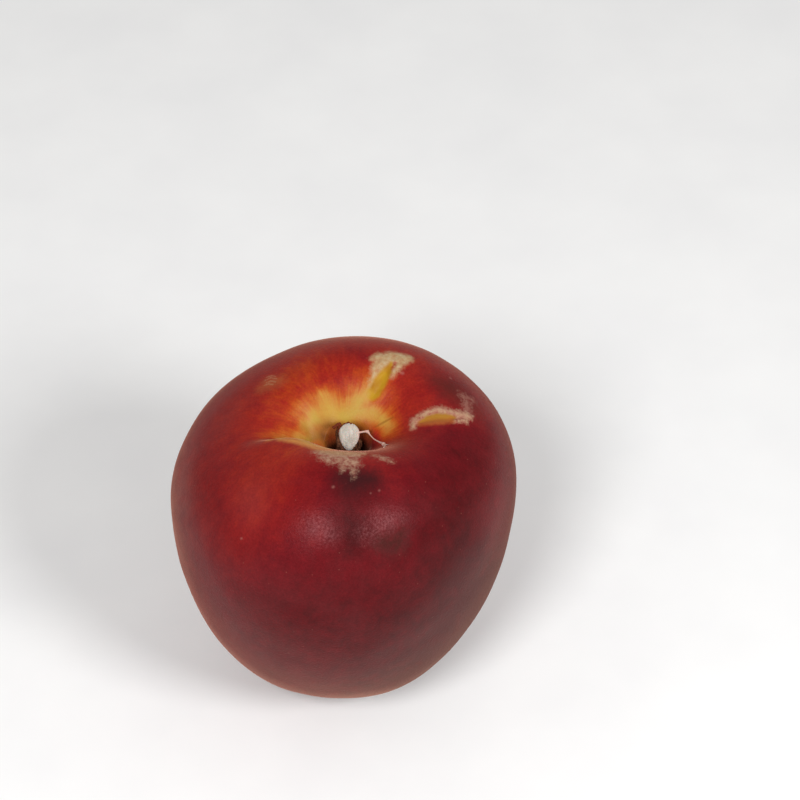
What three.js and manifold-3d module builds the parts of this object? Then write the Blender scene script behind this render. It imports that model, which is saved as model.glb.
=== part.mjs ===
// A ripe nectarine, as picked, with the broken stub of its stem.
// It stands on a small flat spot. Millimetres, +Z up, origin at the middle of the flat spot.
// Azimuth 0 is +X and 90 is +Y. The polar angle runs from 0 at the flat spot to 180 at the stem.

import * as THREE from "three";
import { mergeVertices } from "three/addons/utils/BufferGeometryUtils.js";
import Module from "manifold-3d";

const wasm = await Module();
wasm.setup();

const { clamp, degToRad, lerp, smoothstep } = THREE.MathUtils;

// ---- Driving dimensions of the fruit ----
const HALF_WIDTH = 33.9; // at the waist, before its lobes
const BASE_DEPTH = 45.0; // from the waist down to the apex, before the flat spot is cut
const CROWN_RISE = 26.0; // from the waist up to the crown, before the cavity is sunk
const BASE_FULLNESS = 0.135; // how much fuller the lower half is than an egg
const REST_RADIUS = 7.5; // of the flat spot
const REST_BLEND = 2.5; // width of the ring that eases the flat spot into the side

const CROWN_SHIFT = 2.5; // the crown leans towards +X
const CROWN_RIDGE = 3.2; // the shoulders rise by this along one line and sink across it
const CROWN_RIDGE_AZIMUTH = 83;

// Each lobe is a share of the radius, a count around, and the azimuth of one of its peaks.
const WAIST_LOBES = [
  { share: 0.024, count: 2, azimuth: 38 },
  { share: 0.021, count: 3, azimuth: 23 },
];
const BASE_LOBES = [
  { share: 0.016, count: 2, azimuth: 77 },
  { share: 0.04, count: 3, azimuth: -43 },
];

const SUTURE_AZIMUTH = -88; // a shallow groove down the front
const SUTURE_DEPTH = 0.35;
const SUTURE_WIDTH = 3.0;

const DISH_DEPTH = 12.0; // the stem cavity is a dish with a narrow pit in its middle
const DISH_LEFT = 9.0;
const DISH_RIGHT = 11.0;
const DISH_FRONT = 8.5;
const PIT_FLOOR = 10.0; // height of the pit's flat floor above the waist
const PIT_FLOOR_RADIUS = 2.6;
const PIT_RADIUS = 4.9;

const FOLD_AZIMUTH = 190; // a valley leaves the cavity on the left, with a steep front side
const FOLD_DEPTH = 4.2;
const FOLD_FRONT = 2.2;
const FOLD_BACK = 6.5;
const FOLD_STARTS = [2, 8]; // distances from the stem between which the valley deepens
const FOLD_ENDS = [10, 24]; // and between which it runs out

// ---- Driving dimensions of the stem ----
const STEM_X = 1.1; // the stem stands in the pit, a little to the right of the fruit's middle
const GATHER_RADIUS = 13.0; // within this distance the skin draws in to the stem
const STUB_RADIUS = 2.1;
const STUB_FOOT_RADIUS = 2.5;
const STUB_HEIGHT = 7.3; // at the stem's axis, up to the torn face
const TEAR_SLOPE = 1.0; // the torn face looks up and to the front, at 45 degrees
const TORN_HALF_WIDTH = 2.0;
const TORN_HALF_LENGTH = 2.75; // along the slope
const TORN_TAPER = 0.22; // it is broad at the back and narrow at the front
const TORN_DOME = 0.9;
const STRAND_RADIUS = 0.3;

// ---- How finely the curved faces are cut ----
const AROUND = 72;
const ROWS = 44;
const ROW_CROWDING = 1.35; // above 1, the rows lie closer together at the stem
const STUB_AROUND = 14;
const STUB_ROWS = 6;
const TORN_AROUND = 18;
const TORN_ROWS = 4;
const STRAND_SIDES = 6;
const STRAND_STEPS = 22;

// ---- Values worked out from the dimensions ----
const REST_POLAR = Math.asin(REST_RADIUS / (HALF_WIDTH * (1 + BASE_FULLNESS)));
const WAIST_HEIGHT = -profileHeight(REST_POLAR);
const PIT_HEIGHT = WAIST_HEIGHT + PIT_FLOOR;
const PIT_POLAR = Math.PI - Math.asin(PIT_FLOOR_RADIUS / HALF_WIDTH);

// Height of the egg's outline above the waist.
function profileHeight(polar) {
  const c = Math.cos(polar);
  const mean = (BASE_DEPTH + CROWN_RISE) / 2;
  const difference = (BASE_DEPTH - CROWN_RISE) / 2;
  return -mean * c - difference * c * c;
}

// Distance of the egg's outline from its axis.
function profileRadius(polar) {
  const c = Math.cos(polar);
  const fullness = c > 0 ? BASE_FULLNESS * c * c : 0;
  return HALF_WIDTH * Math.sin(polar) * (1 + fullness);
}

function lobes(list, azimuth) {
  let sum = 0;
  for (const lobe of list) {
    sum += lobe.share * Math.cos(lobe.count * (azimuth - degToRad(lobe.azimuth)));
  }
  return sum;
}

function bell(distance, width) {
  return Math.exp(-((distance / width) ** 2));
}

// Depth of the shallow groove, measured inwards.
function sutureDepth(radius, azimuth, polar) {
  const turned = azimuth - degToRad(SUTURE_AZIMUTH);
  if (Math.cos(turned) <= 0) return 0;
  const below = smoothstep(polar, 0.12 * Math.PI, 0.45 * Math.PI);
  const above = 1 - smoothstep(polar, 0.84 * Math.PI, 0.93 * Math.PI);
  return SUTURE_DEPTH * bell(radius * Math.sin(turned), SUTURE_WIDTH) * below * above;
}

// Depth of the dish round the stem, at x and y from the stem.
function dishDepth(x, y) {
  const across = x < 0 ? DISH_LEFT : DISH_RIGHT;
  return DISH_DEPTH * bell(x, across) * bell(y, DISH_FRONT);
}

// Depth of the valley that leaves the dish, at x and y from the stem.
function foldDepth(x, y) {
  const turn = degToRad(FOLD_AZIMUTH);
  const along = x * Math.cos(turn) + y * Math.sin(turn);
  const behind = x * Math.sin(turn) - y * Math.cos(turn);
  const width = behind < 0 ? FOLD_FRONT : FOLD_BACK;
  const run = smoothstep(along, ...FOLD_STARTS) * (1 - smoothstep(along, ...FOLD_ENDS));
  return FOLD_DEPTH * run * bell(behind, width);
}

// A point of the skin.
function skinPoint(azimuth, polar) {
  const crown = smoothstep(polar, 0.5 * Math.PI, 0.86 * Math.PI);
  const base = 1 - smoothstep(polar, 0.12 * Math.PI, 0.5 * Math.PI);
  const round = profileRadius(polar);
  const swell = 1 + lobes(WAIST_LOBES, azimuth) + base * lobes(BASE_LOBES, azimuth);
  const lobed = round * swell;
  const radius = lobed - sutureDepth(lobed, azimuth, polar);
  const x = radius * Math.cos(azimuth);
  const y = radius * Math.sin(azimuth);

  if (polar <= 0.5 * Math.PI) {
    const rise = WAIST_HEIGHT + profileHeight(polar);
    const ease = smoothstep(round, REST_RADIUS, REST_RADIUS + REST_BLEND);
    return new THREE.Vector3(x, y, Math.max(rise, 0) * ease);
  }
  const ridge = Math.cos(2 * (azimuth - degToRad(CROWN_RIDGE_AZIMUTH)));
  const shoulder = CROWN_RIDGE * ridge * crown * Math.sin(polar);
  const open = WAIST_HEIGHT + profileHeight(polar) + shoulder - dishDepth(x, y) - foldDepth(x, y);
  const wall = smoothstep(round, PIT_FLOOR_RADIUS, PIT_RADIUS);
  const lean = CROWN_SHIFT * crown - (CROWN_SHIFT - STEM_X) * bell(radius, GATHER_RADIUS);
  return new THREE.Vector3(x + lean, y, lerp(PIT_HEIGHT, open, wall));
}

// A closed body from rings of points, listed from the bottom up, with a point at each end.
function ringBody(bottom, rings, top) {
  const around = rings[0].length;
  const points = [bottom, ...rings.flat(), top];
  const last = points.length - 1;
  const at = (row, i) => 1 + row * around + (i % around);
  const index = [];
  for (let i = 0; i < around; i += 1) {
    index.push(0, at(0, i + 1), at(0, i));
    index.push(last, at(rings.length - 1, i), at(rings.length - 1, i + 1));
    for (let row = 0; row + 1 < rings.length; row += 1) {
      index.push(at(row, i), at(row, i + 1), at(row + 1, i + 1));
      index.push(at(row, i), at(row + 1, i + 1), at(row + 1, i));
    }
  }
  const geometry = new THREE.BufferGeometry().setFromPoints(points);
  geometry.setIndex(index);
  geometry.computeVertexNormals();
  return geometry;
}

// One ring of points, given the point at each angle.
function ring(count, pointAt) {
  return Array.from({ length: count }, (_, i) => pointAt((2 * Math.PI * i) / count));
}

function toSolid(geometry) {
  const bare = geometry.clone();
  bare.deleteAttribute("normal");
  bare.deleteAttribute("uv");
  const merged = mergeVertices(bare, 1e-4);
  return new wasm.Manifold(
    new wasm.Mesh({
      numProp: 3,
      vertProperties: new Float32Array(merged.attributes.position.array),
      triVerts: new Uint32Array(merged.index.array),
    }),
  );
}

function fuse(geometries) {
  const whole = geometries.map(toSolid).reduce((sum, solid) => sum.add(solid));
  const mesh = whole.getMesh();
  const geometry = new THREE.BufferGeometry();
  geometry.setAttribute("position", new THREE.BufferAttribute(mesh.vertProperties, 3));
  geometry.setIndex(new THREE.BufferAttribute(mesh.triVerts, 1));
  geometry.computeVertexNormals();
  return geometry;
}

// A small rounded lump, with its half-sizes, centre and turn about +Z in degrees.
function lump({ size, centre, turn = 0 }) {
  const geometry = new THREE.IcosahedronGeometry(1, 1);
  geometry.scale(...size);
  geometry.rotateZ(degToRad(turn));
  geometry.translate(...centre);
  return geometry;
}

// ---- The fruit ----
function fruitGeometry() {
  const pitSide = Math.PI - PIT_POLAR;
  const restSide = Math.PI - REST_POLAR;
  const rings = [];
  for (let row = ROWS; row >= 0; row -= 1) {
    const polar = Math.PI - lerp(pitSide, restSide, (row / ROWS) ** ROW_CROWDING);
    rings.push(ring(AROUND, (azimuth) => skinPoint(azimuth, polar)));
  }
  const restMiddle = new THREE.Vector3(0, 0, 0);
  const pitMiddle = new THREE.Vector3(STEM_X, 0, PIT_HEIGHT);
  return ringBody(restMiddle, rings, pitMiddle);
}

// ---- The stem. Its pieces are made round the stem's own axis, from the pit's floor up ----

// Height of the torn face's plane at y.
function tearHeight(y) {
  return STUB_HEIGHT + y * TEAR_SLOPE;
}

function stubGeometry() {
  const rings = [];
  for (let row = 0; row <= STUB_ROWS; row += 1) {
    const share = row / STUB_ROWS;
    const thick = lerp(STUB_FOOT_RADIUS, STUB_RADIUS, clamp(share * 2.5, 0, 1));
    rings.push(
      ring(STUB_AROUND, (turn) => {
        const bark = 1 - 0.06 * (1 - Math.cos(3 * turn + 2 * share));
        const x = thick * bark * Math.cos(turn);
        const y = thick * bark * Math.sin(turn);
        return new THREE.Vector3(x, y, share * tearHeight(y));
      }),
    );
  }
  const foot = new THREE.Vector3(0, 0, 0);
  const shaft = ringBody(foot, rings, new THREE.Vector3(0, 0, STUB_HEIGHT));

  // A ragged flap of bark stands up behind the torn face, and shorter lumps lie on the right.
  const flap = new THREE.CylinderGeometry(0.35, 0.85, 4.4, 6);
  flap.scale(1, 1, 0.6);
  flap.rotateX(degToRad(90));
  flap.rotateY(degToRad(-16));
  flap.rotateX(degToRad(-8));
  flap.translate(-2.15, 1.75, 6.7);
  const lumps = [
    { size: [0.75, 0.8, 1.5], centre: [2.15, 0.1, 5.2], turn: 15 },
    { size: [0.7, 0.6, 1.3], centre: [1.75, -1.1, 3.9], turn: -30 },
    { size: [0.6, 0.7, 1.2], centre: [1.5, 1.5, 6.6], turn: 40 },
  ];
  return fuse([shaft, flap, ...lumps.map(lump)]);
}

function tornEndGeometry() {
  const slope = Math.atan(TEAR_SLOPE);
  // A point at a, across, b, up the slope, and d, out from the torn face.
  const onFace = (a, b, d) =>
    new THREE.Vector3(
      a,
      b * Math.cos(slope) - d * Math.sin(slope),
      STUB_HEIGHT + b * Math.sin(slope) + d * Math.cos(slope),
    );
  const rings = [];
  for (let row = 0; row < TORN_ROWS; row += 1) {
    const rise = Math.sin((0.5 * Math.PI * row) / TORN_ROWS);
    const shrink = Math.sqrt(1 - rise * rise);
    rings.push(
      ring(TORN_AROUND, (turn) => {
        const a = TORN_HALF_WIDTH * Math.cos(turn) * (1 + TORN_TAPER * Math.sin(turn));
        const b = TORN_HALF_LENGTH * Math.sin(turn);
        return onFace(a * shrink, b * shrink, TORN_DOME * rise);
      }),
    );
  }
  const pad = ringBody(onFace(0, 0, 0), rings, onFace(0, 0, TORN_DOME));

  // A strand of fibre leaves the pad, has a knot in it, and ends in a small hook by the wall.
  const route = new THREE.CatmullRomCurve3([
    onFace(1.0, 0.75, 0.5),
    onFace(2.0, 0.95, 0.75),
    new THREE.Vector3(3.5, 1.0, 8.1),
    new THREE.Vector3(4.9, -0.2, 7.7),
    new THREE.Vector3(6.2, -1.7, 7.5),
    new THREE.Vector3(7.0, -2.4, 7.8),
    new THREE.Vector3(7.2, -3.3, 8.5),
  ]);
  const section = new THREE.Shape(
    ring(STRAND_SIDES, (turn) => {
      const x = STRAND_RADIUS * Math.cos(turn);
      const y = STRAND_RADIUS * Math.sin(turn);
      return new THREE.Vector2(x, y);
    }),
  );
  const strand = new THREE.ExtrudeGeometry(section, {
    steps: STRAND_STEPS,
    curveSegments: 1,
    bevelEnabled: false,
    extrudePath: route,
  });
  const knots = [
    { size: [0.6, 0.45, 0.45], centre: [3.4, 0.95, 8.15], turn: -20 },
    { size: [0.5, 0.55, 0.5], centre: [7.05, -2.75, 8.05], turn: 25 },
  ];
  return fuse([pad, strand, ...knots.map(lump)]);
}

// ---- Materials and the scene graph ----
const skin = new THREE.MeshStandardMaterial({ color: 0x8c2226, roughness: 0.45, metalness: 0 });
const bark = new THREE.MeshStandardMaterial({ color: 0x4a2a1a, roughness: 0.9, metalness: 0 });
const pith = new THREE.MeshStandardMaterial({ color: 0xc8bcae, roughness: 0.7, metalness: 0 });

function mesh(name, geometry, material) {
  const made = new THREE.Mesh(geometry, material);
  made.name = name;
  return made;
}

const nectarine = new THREE.Group();
nectarine.add(mesh("fruit", fruitGeometry(), skin));

const stem = new THREE.Group();
stem.position.set(STEM_X, 0, PIT_HEIGHT);
stem.add(mesh("stem_stub", stubGeometry(), bark));
stem.add(mesh("stem_torn_end", tornEndGeometry(), pith));
nectarine.add(stem);

export default nectarine;
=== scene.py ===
"""A ripe nectarine with the broken stub of its stem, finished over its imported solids.

Shapes are worked out in millimetres, with the dimensions of the solids, and placed in metres.
Azimuth 0 is +X and 90 is +Y. The polar angle runs from 0 at the flat spot to 180 at the stem.
"""

import math
from collections import namedtuple

import bmesh
import bpy
import numpy as np
from mathutils import Matrix, Vector


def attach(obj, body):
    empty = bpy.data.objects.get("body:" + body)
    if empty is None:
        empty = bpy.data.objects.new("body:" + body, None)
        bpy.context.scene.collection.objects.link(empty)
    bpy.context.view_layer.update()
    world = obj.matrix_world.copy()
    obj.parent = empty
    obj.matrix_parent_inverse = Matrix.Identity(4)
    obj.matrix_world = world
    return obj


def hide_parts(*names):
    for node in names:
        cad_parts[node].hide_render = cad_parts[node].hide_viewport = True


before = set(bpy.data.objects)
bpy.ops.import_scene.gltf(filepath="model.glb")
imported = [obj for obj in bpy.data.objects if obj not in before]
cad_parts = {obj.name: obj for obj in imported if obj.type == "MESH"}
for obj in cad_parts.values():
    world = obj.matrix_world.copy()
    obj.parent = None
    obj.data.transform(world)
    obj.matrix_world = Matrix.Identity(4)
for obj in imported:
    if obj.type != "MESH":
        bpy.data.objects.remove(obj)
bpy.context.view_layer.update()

MM = 0.001

# ---- Driving dimensions of the fruit, in millimetres ----
HALF_WIDTH = 33.9
BASE_DEPTH = 45.0
CROWN_RISE = 26.0
BASE_FULLNESS = 0.135
REST_RADIUS = 7.5
REST_BLEND = 2.5
CROWN_SHIFT = 2.5
CROWN_RIDGE = 3.2
CROWN_RIDGE_AZIMUTH = 83
WAIST_LOBES = [(0.024, 2, 38), (0.021, 3, 23)]  # share of the radius, count around, azimuth
BASE_LOBES = [(0.016, 2, 77), (0.04, 3, -43)]
SUTURE_AZIMUTH = -88
SUTURE_DEPTH = 0.35
SUTURE_WIDTH = 3.0
DISH_DEPTH = 12.0
DISH_LEFT = 9.0
DISH_RIGHT = 11.0
DISH_FRONT = 8.5
PIT_FLOOR = 10.0
PIT_FLOOR_RADIUS = 2.6
PIT_RADIUS = 4.9
FOLD_AZIMUTH = 190
FOLD_DEPTH = 4.2
FOLD_FRONT = 2.2
FOLD_BACK = 6.5
FOLD_STARTS = (2, 8)
FOLD_ENDS = (10, 24)
# From where to where each part of the form blends in or out, in half turns of the polar angle.
SUTURE_STARTS = (0.12, 0.45)
SUTURE_ENDS = (0.84, 0.93)
CROWN_STARTS = (0.5, 0.86)
BASE_ENDS = (0.12, 0.5)

# ---- Driving dimensions of the stem ----
STEM_X = 1.1
GATHER_RADIUS = 13.0
STUB_RADIUS = 2.1
STUB_FOOT_RADIUS = 2.5
STUB_HEIGHT = 7.3
TEAR_SLOPE = 1.0
TORN_HALF_WIDTH = 2.0
TORN_HALF_LENGTH = 2.75
TORN_TAPER = 0.22
TORN_DOME = 0.9
TORN_SHIFT = 0.45  # the torn end leans this far to the right of the stub

# ---- How finely the fruit is cut ----
AROUND = 460
ROWS = 206
ROW_CROWDING = 1.3


def smoothstep(value, low, high):
    share = np.clip((value - low) / (high - low), 0, 1)
    return share * share * (3 - 2 * share)


def polar_step(polar, low, high):
    """A smooth step between two polar angles, given in half turns."""
    return smoothstep(polar, low * math.pi, high * math.pi)


def bell(distance, width):
    return np.exp(-((distance / width) ** 2))


def ripple(points, wavelength, seed, waves=28):
    """A smooth random field of about unit size, made of plane waves in seeded directions."""
    draw = np.random.default_rng(seed)
    ways = draw.normal(size=(waves, 3))
    ways /= np.linalg.norm(ways, axis=1, keepdims=True)
    ways *= 2 * math.pi / wavelength * draw.uniform(0.6, 1.5, (waves, 1))
    starts = draw.uniform(0, 2 * math.pi, waves)
    return np.cos(points @ ways.T + starts).sum(-1) * math.sqrt(2 / waves)


def sized_ripple(points, size, wavelength, seed):
    return size * ripple(points, wavelength, seed)


# ---- The form of the fruit ----
def profile_height(polar):
    c = np.cos(polar)
    mean = (BASE_DEPTH + CROWN_RISE) / 2
    difference = (BASE_DEPTH - CROWN_RISE) / 2
    return -mean * c - difference * c * c


def profile_radius(polar):
    c = np.cos(polar)
    return HALF_WIDTH * np.sin(polar) * (1 + np.where(c > 0, BASE_FULLNESS * c * c, 0))


REST_POLAR = math.asin(REST_RADIUS / (HALF_WIDTH * (1 + BASE_FULLNESS)))
WAIST_HEIGHT = -float(profile_height(REST_POLAR))
PIT_HEIGHT = WAIST_HEIGHT + PIT_FLOOR
PIT_POLAR = math.pi - math.asin(PIT_FLOOR_RADIUS / HALF_WIDTH)
STEM_FOOT = np.array([STEM_X, 0.0, PIT_HEIGHT])


def lobes(waves, azimuth):
    return sum(share * np.cos(count * (azimuth - math.radians(at))) for share, count, at in waves)


def suture_depth(radius, azimuth, polar):
    turned = azimuth - math.radians(SUTURE_AZIMUTH)
    below = polar_step(polar, *SUTURE_STARTS)
    above = 1 - polar_step(polar, *SUTURE_ENDS)
    groove = SUTURE_DEPTH * bell(radius * np.sin(turned), SUTURE_WIDTH) * below * above
    return np.where(np.cos(turned) > 0, groove, 0)


def dish_depth(x, y):
    return DISH_DEPTH * bell(x, np.where(x < 0, DISH_LEFT, DISH_RIGHT)) * bell(y, DISH_FRONT)


def fold_depth(x, y):
    turn = math.radians(FOLD_AZIMUTH)
    along = x * math.cos(turn) + y * math.sin(turn)
    behind = x * math.sin(turn) - y * math.cos(turn)
    run = smoothstep(along, *FOLD_STARTS) * (1 - smoothstep(along, *FOLD_ENDS))
    return FOLD_DEPTH * run * bell(behind, np.where(behind < 0, FOLD_FRONT, FOLD_BACK))


def skin_points(azimuth, polar):
    crown = polar_step(polar, *CROWN_STARTS)
    base = 1 - polar_step(polar, *BASE_ENDS)
    plain = profile_radius(polar)
    lobed = plain * (1 + lobes(WAIST_LOBES, azimuth) + base * lobes(BASE_LOBES, azimuth))
    radius = lobed - suture_depth(lobed, azimuth, polar)
    x, y = radius * np.cos(azimuth), radius * np.sin(azimuth)
    height = WAIST_HEIGHT + profile_height(polar)

    low = np.maximum(height, 0) * smoothstep(plain, REST_RADIUS, REST_RADIUS + REST_BLEND)
    ridge = np.cos(2 * (azimuth - math.radians(CROWN_RIDGE_AZIMUTH)))
    shoulder = CROWN_RIDGE * ridge * crown * np.sin(polar)
    above = height + shoulder - dish_depth(x, y) - fold_depth(x, y)
    wall = smoothstep(plain, PIT_FLOOR_RADIUS, PIT_RADIUS)
    high = PIT_HEIGHT + (above - PIT_HEIGHT) * wall
    gather = (CROWN_SHIFT - STEM_X) * bell(radius, GATHER_RADIUS)
    upper = polar > 0.5 * math.pi
    lean = np.where(upper, CROWN_SHIFT * crown - gather, 0)
    return np.stack([x + lean, y, np.where(upper, high, low)], -1)


# ---- Marks on the skin: runs of (x, y, half-width), seen from above ----
YELLOW_GROUND = [
    [(0.7, 5.2, 2.8), (-2.0, 5.2, 2.8), (-4.8, 4.3, 2.0), (-6.8, 3.0, 1.2)],
    [(0.7, 5.4, 2.7), (3.0, 5.6, 2.5), (5.4, 5.1, 2.0), (7.5, 3.8, 0.9), (9.0, 2.8, 0.3)],
    [(3.4, 6.5, 2.3), (5.4, 7.9, 1.9), (6.4, 9.2, 1.1)],
    [(-4.8, 1.4, 1.4), (-7.2, -0.4, 1.3), (-9.6, -1.8, 0.5), (-12.0, -2.6, 0.0)],
]
YELLOW_CREST = [
    (-2.4, -8.8, 0.7), (-4.6, -7.7, 1.1), (-6.2, -6.6, 1.2), (-7.8, -5.8, 1.1),
    (-9.4, -5.3, 0.9), (-11.2, -5.1, 0.6), (-13.4, -4.8, 0.2),
]
BACK_SCAR = [
    (9.7, 13.3, 0.4), (9.0, 11.4, 1.0), (8.1, 10.1, 1.25),
    (7.2, 8.9, 1.35), (6.5, 8.0, 1.2), (6.0, 7.3, 0.8),
]
BACK_CORK = [
    [
        (5.8, 8.8, 0.2), (6.2, 10.4, 0.5), (6.7, 12.0, 0.8),
        (7.7, 13.6, 1.3), (9.7, 14.8, 1.5), (11.4, 14.9, 1.6),
    ],
    [(6.0, 14.2, 0.5), (7.2, 14.4, 1.2)],
    [(6.9, 10.6, 0.6), (8.0, 12.6, 1.0), (9.8, 14.2, 1.0)],
    [(11.4, 14.9, 1.5), (12.9, 15.0, 1.1), (11.6, 13.3, 0.8), (10.7, 12.0, 0.6), (9.8, 10.4, 0.35)],
]
RIGHT_SCAR = [
    (15.3, 0.5, 0.35), (16.7, 1.0, 0.9), (18.6, 1.35, 1.1), (20.4, 1.6, 1.0), (21.8, 1.9, 0.5),
]
RIGHT_GLOW = [(15.4, 0.0, 0.3), (17.2, 0.1, 0.7), (19.2, 0.4, 0.75), (21.4, 1.1, 0.5)]
RIGHT_CORK = [
    [
        (14.0, -0.5, 0.5), (14.1, 1.0, 0.9), (15.1, 1.8, 0.5),
        (16.7, 2.6, 0.6), (18.4, 3.1, 0.7), (20.0, 3.3, 0.8),
    ],
    [(20.0, 3.3, 0.8), (21.5, 2.9, 0.8), (23.1, 2.9, 1.15), (24.6, 3.2, 0.9), (25.4, 3.6, 0.4)],
    [(15.4, 1.1, 0.5), (18.4, 2.1, 0.7), (21.5, 2.3, 0.6)],
    [(22.3, 1.2, 0.4), (23.7, 1.7, 0.5), (24.3, 1.5, 0.3)],
]
RIGHT_SPUR = [
    (24.2, 4.0, 1.3), (24.3, 5.4, 1.2), (24.5, 7.0, 0.9), (23.2, 8.4, 0.5), (25.6, 8.6, 0.6),
]
SHOULDER_SMOKE = [(18.5, 10.4, 1.3), (21.3, 8.9, 2.4), (24.0, 7.0, 2.2), (25.8, 5.8, 1.2)]
FRONT_RUSSET = [
    [
        (-4.6, -11.3, 0.6), (-2.5, -11.9, 1.6), (-0.3, -12.1, 2.3),
        (2.0, -12.0, 2.1), (3.9, -11.3, 0.8),
    ],
    [(-0.9, -14.0, 0.7), (1.0, -14.6, 1.5), (2.5, -14.5, 1.2), (3.6, -15.1, 0.3)],
    [(0.6, -16.1, 0.6), (0.7, -16.9, 0.15)],
    [(-3.2, -13.2, 0.8), (-1.8, -14.7, 0.7)],
    [(2.5, -16.4, 0.5), (2.7, -18.0, 0.15)],
]
FRONT_STREAK = [(6.5, -11.8, 0.3), (7.8, -12.4, 0.6), (9.2, -13.0, 0.5), (9.9, -13.4, 0.15)]
FOLD_EDGE = [
    (-11.6, -6.2, 0.1), (-10.4, -6.5, 0.35), (-9.2, -6.9, 0.5), (-7.8, -7.4, 0.6),
    (-6.3, -8.3, 0.65), (-4.8, -9.4, 0.6), (-3.0, -10.3, 0.4), (-1.6, -10.8, 0.2),
]
# Painted shade along the bottom of the fold's valley, by the cavity.
VALLEY_SHADE = [(-7.4, 2.4, 0.2), (-5.7, 2.1, 0.5), (-4.3, 1.6, 0.7), (-3.2, 0.6, 0.7)]
LIP_SHADE = [(-3.8, 2.2, 0.2), (-3.35, 1.7, 0.5), (-3.1, 1.1, 0.4)]
LIT_WALL = [(-2.3, 2.9, 0.3), (-1.65, 3.3, 0.65), (-1.0, 3.6, 0.5)]
BROWN_LINE = [(6.6, 2.9, 0.08), (8.3, 3.2, 0.16), (10.1, 3.4, 0.08)]
SCRATCHES = [
    [(-14.8, 12.9, 0.06), (-13.9, 13.2, 0.10), (-13.0, 12.3, 0.06)],
    [(-14.8, 12.1, 0.06), (-13.8, 12.3, 0.10), (-12.8, 11.4, 0.06)],
    [(-14.9, 11.3, 0.06), (-13.9, 11.5, 0.09), (-13.1, 10.7, 0.06)],
    [(-15.1, 10.5, 0.05), (-14.2, 10.7, 0.08), (-13.4, 10.1, 0.05)],
]
TAN_PATCH = [(-12.6, 10.8, 1.3), (-14.2, 10.7, 1.7), (-15.6, 10.2, 1.0)]
PALE_DOTS = [
    (-1.3, -20.4, 0.34), (7.5, -20.3, 0.25), (5.8, -21.0, 0.18),
    (12.0, 11.1, 0.4), (21.4, 12.3, 0.33), (-18.7, -24.2, 0.3),
]
# Painted highlight: fine pale specks where the two soft highlights fall on the front.
PAINTED_HIGHLIGHT_SPECKS = [
    [(-5.0, -26.4, 1.2), (-2.0, -28.0, 0.8)],
    [(5.0, -27.4, 0.8), (6.8, -26.1, 1.2), (8.6, -25.0, 1.2), (11.0, -23.9, 0.4)],
]
SMUDGE = [(0.7, -18.2, 1.2), (2.8, -18.9, 2.1), (5.7, -18.5, 1.4)]
SCUFF = [(8.2, -27.9, 1.6), (10.9, -27.4, 2.0), (11.7, -26.0, 1.2)]
SUTURE_SHADE = [(2.6, -20.8, 1.4), (2.3, -24.3, 1.0), (2.0, -28.0, 0.2)]


# ---- How red the skin is: 0 is yellow ground colour, 1 is the deepest maroon ----
BLUSH_LEVEL = 0.48  # outside the yellow ground
BLUSH_FRONT = 0.10
BLUSH_DOWNWARDS = 0.17
BLUSH_BASE = 0.06
BLUSH_SUTURE = 0.22
BLUSH_PIT_RIGHT = 0.34
# Sides, as an azimuth and its spread in degrees.
LEFT_SIDE = (172, 30)
FRONT_SIDE = (-90, 50)
PIT_RIGHT_SIDE = (-8, 34)
# From where to where each one comes in or fades, in millimetres from the stem unless noted.
FRONT_BEGINS = (-3, -9)  # along Y
BLOTCHES_BEGIN = (5, 10)
DOWNWARDS_BEGINS = (13, 40)
BASE_BEGINS = (58, 46)  # height
SUTURE_FADES = (-2.5, 7.0)  # outside the suture's shade
PIT_RIGHT_FADES = (4.6, 6.9)
# How far outside the yellow ground the red begins and where it is full: everywhere, and what is
# added at the left and at the front.
RED_BEGINS = (-2.7, 0.0, 2.0)
RED_FULL = (4.9, 1.1, -3.5)
BLOTCHES = [(0.50, 7.5, 6), (0.30, 3.2, 7)]  # size, wavelength, seed
CREST_EDGE = (-0.8, 2.2)
CREST_WAVES = (0.3, 2.6, 8)
# Sides that are redder: amount, from where to where away from the stem, azimuth and its spread.
BLUSH_SIDES = [
    (0.07, (14, 40), (-80, 60)),
    (0.24, (9, 26), (-28, 32)),
]
# Places that are redder, or yellower where the amount is below 0: amount, place, sizes.
BLUSH_SPOTS = [
    (-0.16, (-18, -21, 60), (8, 9, 12)),
    (-0.03, (-9, -15, 68), (5, 5, 6)),
    (0.15, (2.5, 16.3, 69), (4, 2.5, 4)),
    (0.22, (20.5, 9.5, 65.5), (5, 4, 5)),
    (0.07, (12, -14, 67), (7, 6, 6)),
    (0.10, (20, -5, 63), (9, 5, 6)),
    (0.10, (-3.5, -18.5, 68), (5.5, 6, 5)),
    (0.04, (-12, -29, 48), (10, 8, 12)),
    (0.06, (-23, -19, 58), (3, 5, 6)),
    (-0.05, (19, -27, 47), (9, 7, 11)),
    (0.05, (-3.8, -15.8, 68.7), (3.5, 3, 4)),
    (0.07, (18, -1.6, 64.8), (6, 2.2, 4)),
    (0.10, (4.8, 13.9, 68.9), (2.4, 2, 3)),
    (-0.04, (-14.6, -4.4, 65), (3.5, 1.6, 3)),
    (-0.10, (8.2, 0.8, 61), (1.8, 1.8, 2)),
    (-0.08, (11.3, 0.3, 62.8), (2.0, 2.4, 2)),
    (0.08, (-0.5, 9.2, 66.8), (4.5, 1.8, 4)),
    (-0.07, (-8.2, -10.2, 67.7), (4.5, 2.4, 3)),
    (-0.05, (-11, 6, 65), (4, 4, 4)),
    (-0.06, (-8, 12, 67), (5, 4, 4)),
    (0.05, (13, 6, 66), (5, 4, 4)),
    (-0.14, (31, -12, 50), (8, 10, 12)),
    (-0.05, (24, -21, 31), (9, 9, 10)),
]


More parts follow.
